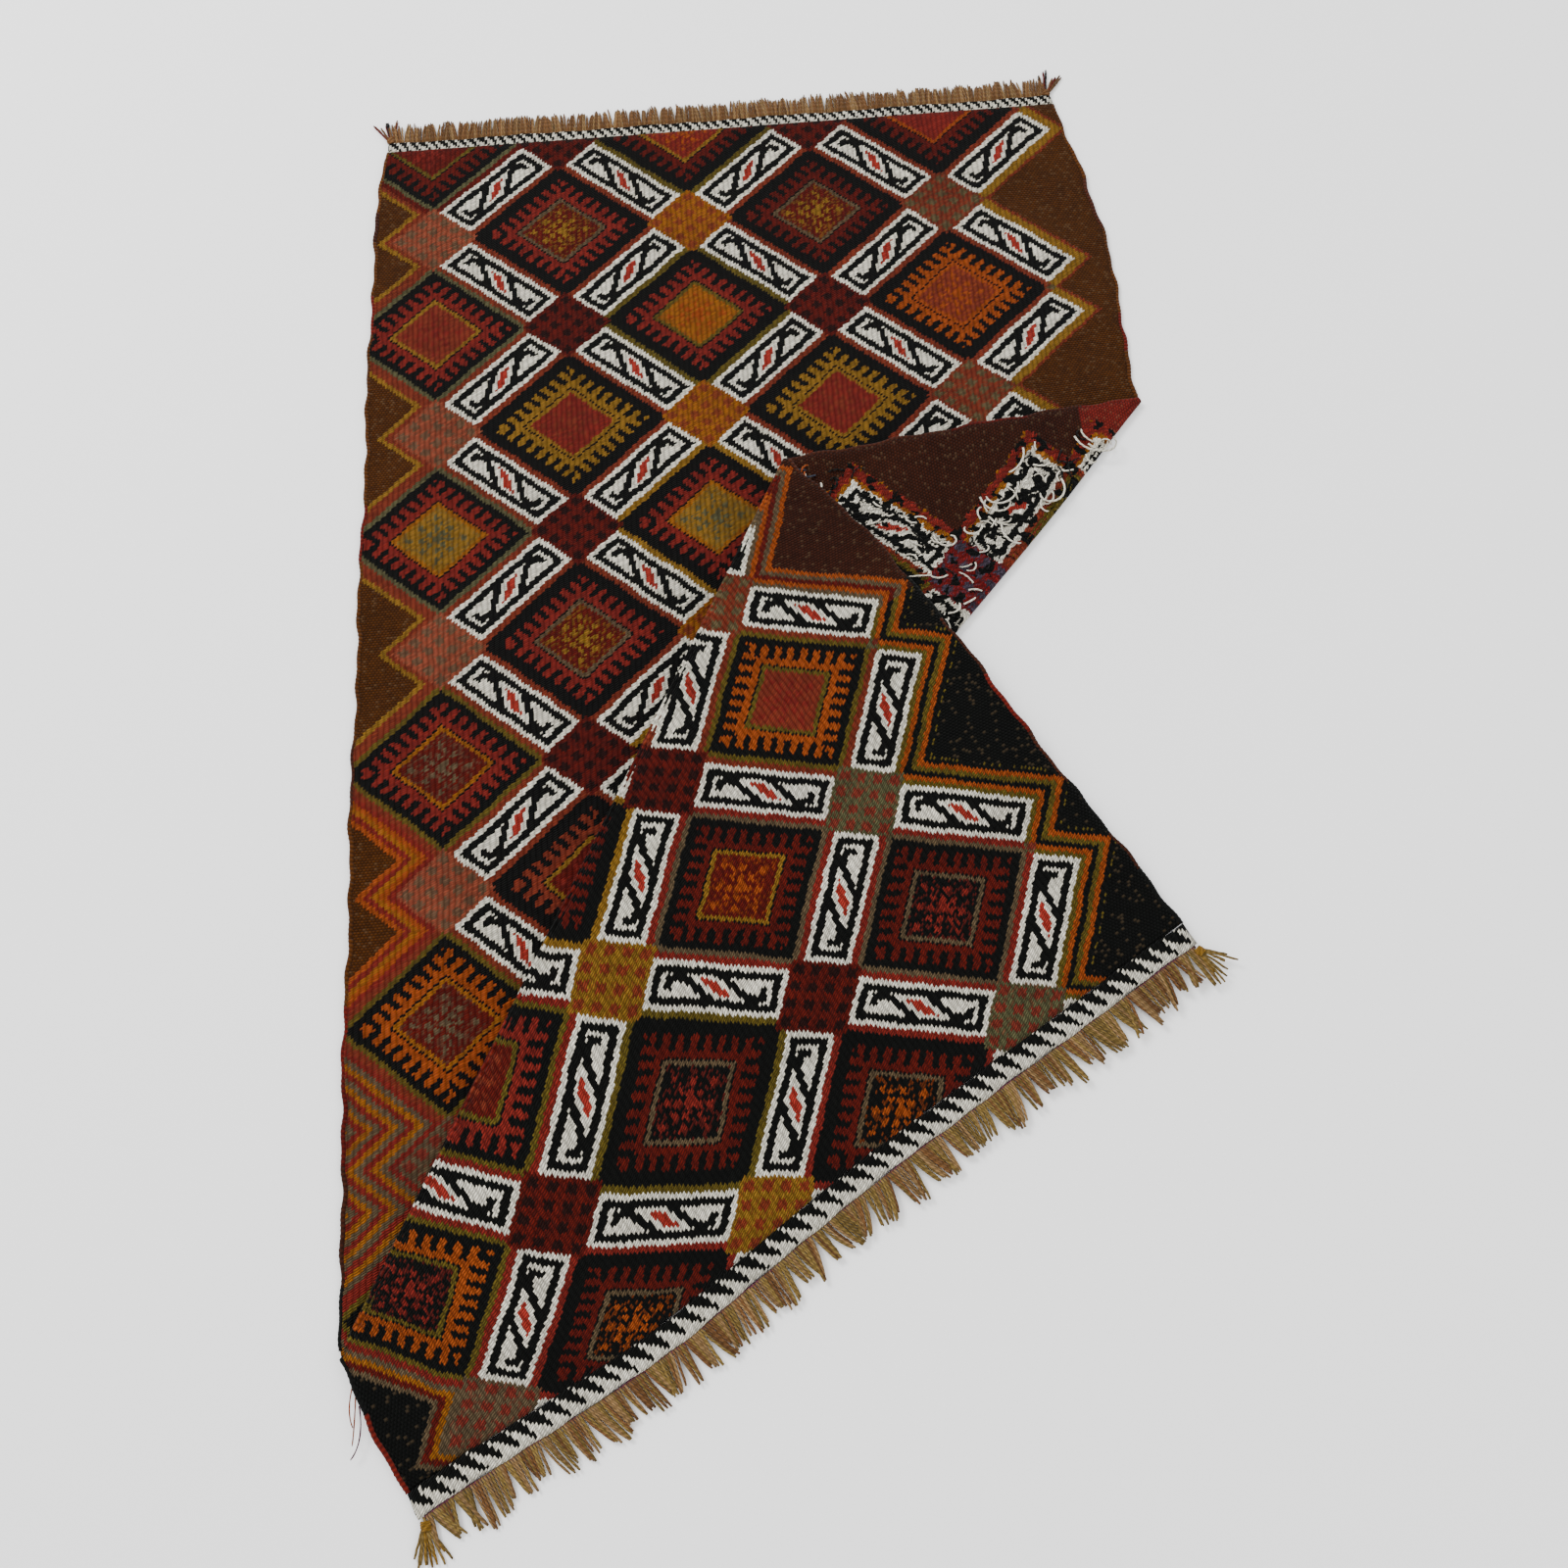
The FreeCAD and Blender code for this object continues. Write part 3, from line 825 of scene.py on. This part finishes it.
def crease_roll(name, angle, axis_height, turned, place, second, back_out):
    """The cloth that bends round a crease, between the edges of two panels."""
    turns, steps = 14, round(WIDTH / GRID)
    inner, outer = (CLOTH, 0.0) if back_out else (0.0, CLOTH)
    across = Vector((-cos(radians(angle)), sin(radians(angle)), 0))
    points, spots = [], []
    for x in np.linspace(4.0, WIDTH - 1.0, steps + 1):
        y = crease_y(angle, x)
        shift = Vector((*give(second, [x], [y])[0], 0))
        for height, shares in ((outer, range(turns + 1)), (inner, range(turns, -1, -1))):
            for k in shares:
                bent = place @ turn(angle, axis_height, turned * k / turns)
                overlap = across * LAYER_GAP * (1 if k == 0 else -1 if k == turns else 0)
                points.append(bent @ (Vector((x, y, height)) + overlap) + shift)
                spots.append((x - across.x * (k / turns - 0.5) * 5, y - across.y * (k / turns - 0.5) * 5))
    spots = np.array(spots)
    n = 2 * (turns + 1)
    faces = [list(range(n))[::-1], [steps * n + k for k in range(n)]]
    for i in range(steps):
        for k in range(n):
            j = (k + 1) % n
            faces.append([i * n + k, i * n + j, (i + 1) * n + j, (i + 1) * n + k])
    colours, reach = paint_cloth(spots, faces)
    lying = placed([tuple(p) for p in points], Matrix.Identity(4))
    made = new_object(name, lying, faces, [spots[f] for f in faces], CLOTH_WOOL,
                      {"reverse": [float(back_out)] * len(faces), "line_reach": reach}, colours)
    bm = bmesh.new()
    bm.from_mesh(made.data)
    bmesh.ops.recalc_face_normals(bm, faces=bm.faces[:])
    bm.to_mesh(made.data)
    bm.free()
    axis_point = place @ Vector((0, FOLD_POINT, axis_height))
    up = (place.to_3x3() @ Vector((0, 0, 1))) * (1 if back_out else -1)
    reach_of_bend = up * (CLOTH + LAYER_GAP / 2)
    start, end = placed([axis_point - reach_of_bend, axis_point + reach_of_bend], Matrix.Identity(4))
    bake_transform(made)
    return made


cloth = {panel: cloth_panel(panel) for panel in PLACES}
outer_crease = crease_roll("outer_crease", OUTER_CREASE, OUTER_AXIS, TURNBACK_LIFT - 180, Matrix.Identity(4),
                           "turnback", True)
inner_crease = crease_roll("inner_crease", INNER_CREASE, INNER_AXIS, 180 - FLAP_OPENING, TO_TURNBACK,
                           "flap", False)

# ---------------------------------------------------------------- bands, cords, fringe and loose yarn
chance = random.Random(7)


def tubes(name, paths, material, panel, sides=6):
    """Yarns as tubes. Each path is (points in mm on the flat rug, radii, dye)."""
    points, faces, places, dyes = [], [], [], []
    for line, radii, dye in paths:
        line = [Vector(p) for p in line]
        first, length = len(points), 0.0
        side = Vector((0, 0, 1)).cross(line[1] - line[0])
        side = side.normalized() if side.length > 1e-6 else Vector((1, 0, 0))
        lengths = []
        for i, point in enumerate(line):
            ahead = line[min(i + 1, len(line) - 1)] - line[max(i - 1, 0)]
            ahead.normalize()
            side = (side - ahead * side.dot(ahead)).normalized()
            over = ahead.cross(side)
            if i:
                length += (point - line[i - 1]).length
            lengths.append(length)
            for k in range(sides):
                turned = 2 * pi * k / sides
                points.append(point + (side * cos(turned) + over * sin(turned)) * radii[i])
        for i in range(len(line) - 1):
            for k in range(sides):
                j = (k + 1) % sides
                low, high = first + i * sides, first + (i + 1) * sides
                faces.append([low + k, low + j, high + j, high + k])
                places.append([(lengths[i], k / sides), (lengths[i], (k + 1) / sides),
                               (lengths[i + 1], (k + 1) / sides), (lengths[i + 1], k / sides)])
                dyes.append(dye)
        last = first + (len(line) - 1) * sides
        faces.append([first + k for k in reversed(range(sides))])
        faces.append([last + k for k in range(sides)])
        places += [[(0.0, 0.5)] * sides, [(length, 0.5)] * sides]
        dyes += [dye, dye]
    lying = laid([tuple(p) for p in points], panel)
    return new_object(name, lying, faces, places, material, None, {"dye": dyes})


def shade(name, spread=0.25):
    """A yarn colour made a little lighter or darker by chance."""
    factor = 1 + chance.uniform(-spread, spread)
    return [v * factor for v in YARNS[name][:3]] + [1.0]


def woven_band(name, node, panel, y_low, y_high, top, material):
    """A band woven across the rug, a little curved in section."""
    columns, rows = round(WIDTH / 3), 6
    flat, faces = [], []
    for share in np.linspace(0, 1, rows + 1):
        y = y_low + share * (y_high - y_low)
        xs = spread_across(np.linspace(0, 1, columns + 1), y)
        flat += [(x, y + 0.5 * sin(x / 17.0) + 0.4 * sin(x / 5.3)) for x in xs]
    flat = np.array(flat)
    for r in range(rows):
        for i in range(columns):
            k = r * (columns + 1) + i
            faces.append([k, k + 1, k + columns + 2, k + columns + 1])
    across = (flat[:, 1] - y_low) / (y_high - y_low)
    base = lift(flat[:, 0], np.clip(flat[:, 1], 0, LENGTH)) * (1 if panel == "upper" else 0)
    crown = top - 0.5 + 0.45 * np.sin(np.clip(across, 0, 1) * pi)
    points, faces, _ = closed_sheet(flat, faces, base, base + crown)
    made = new_object(name, laid(points, panel), faces, [points[f][:, :2] for f in faces], material)
    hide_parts(node)
    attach(made, panel)
    return made


end_band_top = woven_band("checked_band", "end_band_top", "upper", LENGTH, LENGTH + TOP_BAND,
                          CLOTH, TOP_BAND_WOOL)
end_band_bottom = woven_band("saw_band", "end_band_bottom", "flap", -BOTTOM_BAND, 0, CLOTH, BOTTOM_BAND_WOOL)


def overcast(line, radius, dye, pitch=3.2):
    """A cord wound over with yarn: its radius swells at every turn."""
    radii = []
    length = 0.0
    for i, point in enumerate(line):
        if i:
            length += (Vector(point) - Vector(line[i - 1])).length
        radii.append(radius * (1 + 0.10 * cos(2 * pi * length / pitch)))
    return line, radii, dye


def selvedge_cord(side, panel, y_low, y_high):
    """The cord along one selvedge, in short lengths of different dye."""
    edge = left_edge if side == "left" else right_edge
    inwards = 0.6 if side == "left" else -0.6
    paths, y = [], y_low
    while y < y_high - 1:
        stop = min(y + chance.uniform(26, 60), y_high)
        ys = np.linspace(y, stop, max(3, round((stop - y) / 1.6)))
        xs = edge(ys) + inwards
        base = lift(xs, ys) * (1 if panel == "upper" else -0.5)
        line = [(x, v, z + 1.5) for x, v, z in zip(xs, ys, base)]
        ground = side_yarns(side, y)[0][3]
        dye = shade(chance.choice([ground, ground, ground, "dark red", "dark brown"]))
        paths.append(overcast(line, 1.75, dye))
        y = stop
    made = tubes(f"{side}_edge_cord_{panel}", paths, CORD_WOOL, panel, 8)
    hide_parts(f"selvedge_cord_{side}_{panel}")
    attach(made, panel)
    return made


cords = {
    "upper": [selvedge_cord("left", "upper", FOLD_POINT + 1, LENGTH),
              selvedge_cord("right", "upper", OUTER_END + 1, LENGTH)],
    "turnback": [selvedge_cord("right", "turnback", INNER_END + 1, OUTER_END - 1)],
    "flap": [selvedge_cord("left", "flap", 0, FOLD_POINT - 1),
             selvedge_cord("right", "flap", 0, INNER_END - 1)],
}


def fringe(name, node, panel, y_start, direction, length, dyes, clump, leaning, spacing, yarn_radius):
    """Cut warp ends: plied strands in clumps, lying out from the band."""
    paths = []
    left, right_side = left_edge(y_start) + 3, right_edge(y_start) - 3
    x, lean, reach = left, 0.0, 1.0
    left_in_clump = 0
    while x < right_side:
        if left_in_clump <= 0:
            left_in_clump = chance.randint(*clump)
            lean = chance.uniform(-leaning, leaning)
            reach = chance.uniform(1 - leaning, 1.04)
            middle = x + left_in_clump * spacing / 2
        left_in_clump -= 1
        long = length * reach * chance.uniform(0.86, 1.04)
        gather = (middle - x) * chance.uniform(0.1, 0.6) * (spacing > 1.5)
        tip_x = lean * long + gather + chance.uniform(-1.2, 1.2)
        rise = chance.uniform(0.9, 2.6)
        line, radii = [], []
        fat = yarn_radius * chance.uniform(0.85, 1.15)
        for k in range(7):
            t = k / 6
            bow = sin(t * pi) * chance.uniform(-0.25, 0.25)
            z = 1.3 + rise * sin(t * pi) * 0.8 * (1 - 0.4 * t) + 0.2
            reached = y_start + direction * (long * t - 1.5)
            line.append((x + tip_x * t ** 1.4 + bow, reached, max(z - 0.3 * t, fat)))
            radii.append(fat * (1.0 if k < 6 else 0.75) * (1 + 0.08 * (k % 2)))
        paths.append((line, radii, shade(chance.choice(dyes), 0.3)))
        x += spacing * chance.uniform(0.8, 1.2)
    made = tubes(name, paths, YARN_WOOL, panel, 5)
    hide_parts(node)
    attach(made, panel)
    return made


UPPER_DYES = ["camel", "camel brown", "camel brown"]
LOWER_DYES = ["camel", "camel olive", "camel olive", "camel brown"]
fringe_top = fringe("upper_warp_ends", "fringe_top", "upper", LENGTH + TOP_BAND, 1, TOP_FRINGE,
                    dyes=UPPER_DYES, clump=(2, 6), leaning=0.14, spacing=1.0, yarn_radius=0.72)
fringe_bottom = fringe("lower_warp_ends", "fringe_bottom", "flap", -BOTTOM_BAND - BINDING, -1, BOTTOM_FRINGE - 2,
                       dyes=LOWER_DYES, clump=(3, 7), leaning=0.3, spacing=1.75, yarn_radius=0.95)

xs = np.arange(1.0, WIDTH - 1.0, 1.6)
binding_line = [(x, -BOTTOM_BAND - 1.0 + 0.5 * sin(x / 11.0), 1.2) for x in xs]
binding_path = overcast(binding_line, 1.05, YARNS["purple"], 5.0)
binding_thread = tubes("purple_binding", [binding_path], CORD_WOOL, "flap", 6)
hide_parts("binding_thread_bottom")
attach(binding_thread, "flap")


def corner_tassel(side, end):
    """Warp ends knotted at a corner, with their cut ends fanned out."""
    outwards = 1 if side == "right" else -1
    up = 1 if end == "top" else -1
    panel = "upper" if end == "top" else "flap"
    y = LENGTH + TOP_BAND if end == "top" else -BOTTOM_BAND - BINDING
    edge = right_edge(y) if side == "right" else left_edge(y)
    root = Vector((edge - outwards * 3.0, y, 1.6))
    heading = radians(12 if end == "top" else 18)
    along = Vector((outwards * sin(heading), up * cos(heading), 0))
    across = Vector((along.y, -along.x, 0))
    dyes = ["camel brown", "dark red", "black"] if end == "top" else ["mustard", "camel olive", "camel olive"]
    paths = []
    coil = []
    for k in range(45):
        turned = 2 * pi * k / 12
        swell = 2.3 + 0.5 * sin(pi * k / 44)
        spot = root + along * (1.0 + 5.0 * k / 44)
        height = Vector((0, 0, 1)) * sin(turned) * min(swell, 1.6)
        coil.append(spot + across * cos(turned) * swell + height + Vector((0, 0, 0.9)))
    paths.append((coil, [0.85] * len(coil), shade(dyes[0])))
    for i in range(11):
        fan = radians(chance.uniform(-24, 30))
        way_x = along.x * cos(fan) + along.y * sin(fan) * outwards * up
        way_y = along.y * cos(fan) - along.x * sin(fan) * outwards * up
        way = Vector((way_x, way_y, 0))
        long = chance.uniform(16, 27)
        line = []
        for k in range(8):
            t = k / 7
            wobble = Vector((chance.uniform(-0.3, 0.3), 0, 0))
            line.append(root + way * (3 + long * t) + wobble + Vector((0, 0, 0.9 * (1 - t) - 0.5 * t)))
        paths.append((line, [0.8] * 7 + [0.6], shade(chance.choice(dyes), 0.3)))
    made = tubes(f"knot_{end}_{side}", paths, YARN_WOOL, panel, 6)
    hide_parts(f"corner_tassel_{end}_{side}")
    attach(made, panel)
    return made


tassels = {(side, end): corner_tassel(side, end) for side in ("left", "right") for end in ("top", "bottom")}


def loose_yarn(x, y, heading, length, curl, z, radius, dye, rise=2.0):
    """A loose end lying on a surface, curling as it goes."""
    line, place, way = [], Vector((x, y, z)), radians(heading)
    steps = 12
    outwards = -1 if z < 0 else 1
    for k in range(steps + 1):
        t = k / steps
        line.append(place + Vector((0, 0, outwards * rise * sin(t * pi))))
        way += radians(curl) / steps * (0.4 + 1.2 * t)
        place = place + Vector((cos(way), sin(way), 0)) * (length / steps)
    return line, [radius * (0.9 + 0.1 * cos(k)) for k in range(steps)] + [radius * 0.6], dye


def back_yarns():
    """Loose ends and slack floats on the back of the turnback."""
    paths = []
    for i in range(9):
        inset = 28 + 30 * (i % 3) + chance.uniform(-6, 6)
        x = WIDTH - inset
        y = crease_y(OUTER_CREASE, x) - 12 - 17 * (i // 2) - chance.uniform(0, 8)
        heading, length = chance.uniform(150, 250), chance.uniform(22, 40)
        curl = chance.choice((-1, 1)) * chance.uniform(80, 260)
        paths.append(loose_yarn(x, y, heading, length, curl, -1.6, 0.85, shade("white", 0.1), 3.0))
    made = 0
    while made < 150:
        x = chance.uniform(330, WIDTH - 6)
        y = chance.uniform(crease_y(INNER_CREASE, x) + 6, crease_y(OUTER_CREASE, x) - 5)
        a, b = lattice_place(x, y)
        if min(abs(a - round(a)), abs(b - round(b))) > 0.13 or a + b > 5.05:
            continue
        made += 1
        heading, length, curl = chance.uniform(0, 360), chance.uniform(7, 15), chance.uniform(-160, 160)
        radius = chance.uniform(0.6, 0.85)
        dye = shade(chance.choice(["white", "black", "white"]), 0.15)
        paths.append(loose_yarn(x, y, heading, length, curl, -0.7, radius, dye, 1.1))
    for i in range(16):
        x, y = WIDTH - 10 - chance.uniform(0, 16), INNER_END + chance.uniform(-4, 12)
        heading, length, curl = chance.uniform(0, 360), chance.uniform(8, 14), chance.uniform(-120, 120)
        dye = shade(chance.choice(["blue grey", "blue grey", "orange", "white"]), 0.2)
        paths.append(loose_yarn(x, y, heading, length, curl, -0.7, 0.8, dye, 1.6))
    piece = tubes("loose_floats", paths, YARN_WOOL, "turnback", 6)
    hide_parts("yarn_ends_on_back")
    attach(piece, "turnback")
    return piece


yarn_ends = back_yarns()
stray_paths = [loose_yarn(left_edge(65.0) - 1, 65 - 5 * i, 228 + 14 * i, 20 + 4 * i, 40 - 50 * i, 0.8, 0.5,
                          shade("orange" if i < 2 else "purple", 0.1), 0.6) for i in range(3)]
stray_yarn = tubes("stray_ends", stray_paths, YARN_WOOL, "flap", 6)
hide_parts("stray_yarn_left")
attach(stray_yarn, "flap")


# ---------------------------------------------------------------- floor, light and camera
bpy.ops.object.select_all(action="DESELECT")
bpy.ops.mesh.primitive_plane_add(size=8, location=(0, 0, 0))
floor = bpy.context.object
floor.name = "floor"
floor_material, _, floor_shader = new_material("pale_floor", 0.9, 0.0)
floor_shader.inputs["Base Color"].default_value = (0.93, 0.93, 0.93, 1)
floor.data.materials.append(floor_material)

world = bpy.data.worlds.new("studio")
bpy.context.scene.world = world
world.use_nodes = True
world.node_tree.nodes["Background"].inputs[0].default_value = (1, 1, 1, 1)
world.node_tree.nodes["Background"].inputs[1].default_value = 1.42


def area_light(name, place, target, size, power):
    data = bpy.data.lights.new(name, "AREA")
    data.shape = "SQUARE"
    data.size = size
    data.energy = power
    made = bpy.data.objects.new(name, data)
    bpy.context.scene.collection.objects.link(made)
    made.location = place
    made.rotation_mode = "QUATERNION"
    made.rotation_quaternion = (Vector(target) - Vector(place)).to_track_quat("-Z", "Y")


area_light("key", (-1.7, 1.5, 2.2), (0, 0, 0), 1.1, 96)
area_light("fill", (1.8, -1.2, 2.2), (0, 0, 0), 2.0, 27)

camera = bpy.data.cameras.new("camera")
camera.lens = 33.75
camera.sensor_width = 36
camera_object = bpy.data.objects.new("camera", camera)
bpy.context.scene.collection.objects.link(camera_object)
eye = Vector((-0.029, -0.4108, 0.971))
ahead = (Vector((0.0017, -0.0758, 0.0)) - eye).normalized()
right = Vector((cos(radians(5.27)), -sin(radians(5.27)), 0))
right = (right - ahead * right.dot(ahead)).normalized()
up = right.cross(ahead)
camera_object.matrix_world = Matrix((
    (right.x, up.x, -ahead.x, eye.x),
    (right.y, up.y, -ahead.y, eye.y),
    (right.z, up.z, -ahead.z, eye.z),
    (0, 0, 0, 1)))
bpy.context.scene.camera = camera_object
